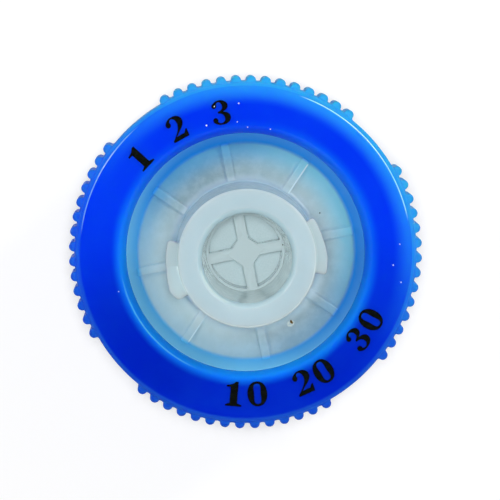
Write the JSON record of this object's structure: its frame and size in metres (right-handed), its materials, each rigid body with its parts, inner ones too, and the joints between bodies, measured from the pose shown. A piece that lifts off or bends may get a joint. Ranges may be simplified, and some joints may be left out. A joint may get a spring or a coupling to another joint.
{
  "type": "syringe filter",
  "caption": "Small round filter: cloudy clear housings with a luer socket on top and a tapered nozzle below, held by a blue ring with grip bumps.",
  "frame": {"origin": "centre of the outlet nozzle's end face, which the filter stands on", "axes": "+Z along the flow axis from the outlet nozzle to the inlet hub, +X along one radial rib, which is the one that starts below a thread lug"},
  "size_m": [0.0172, 0.0172, 0.0209],
  "materials": {
    "natural_plastic": "cloudy clear moulded polypropylene",
    "membrane": "matt white fine-pored sheet",
    "blue_plastic": "semi-gloss moulded polypropylene"
  },
  "bodies": {
    "root": {"inlet_housing": "natural_plastic", "outlet_housing": "natural_plastic", "membrane": "membrane", "grip_ring": "blue_plastic"}
  },
  "joints": []
}
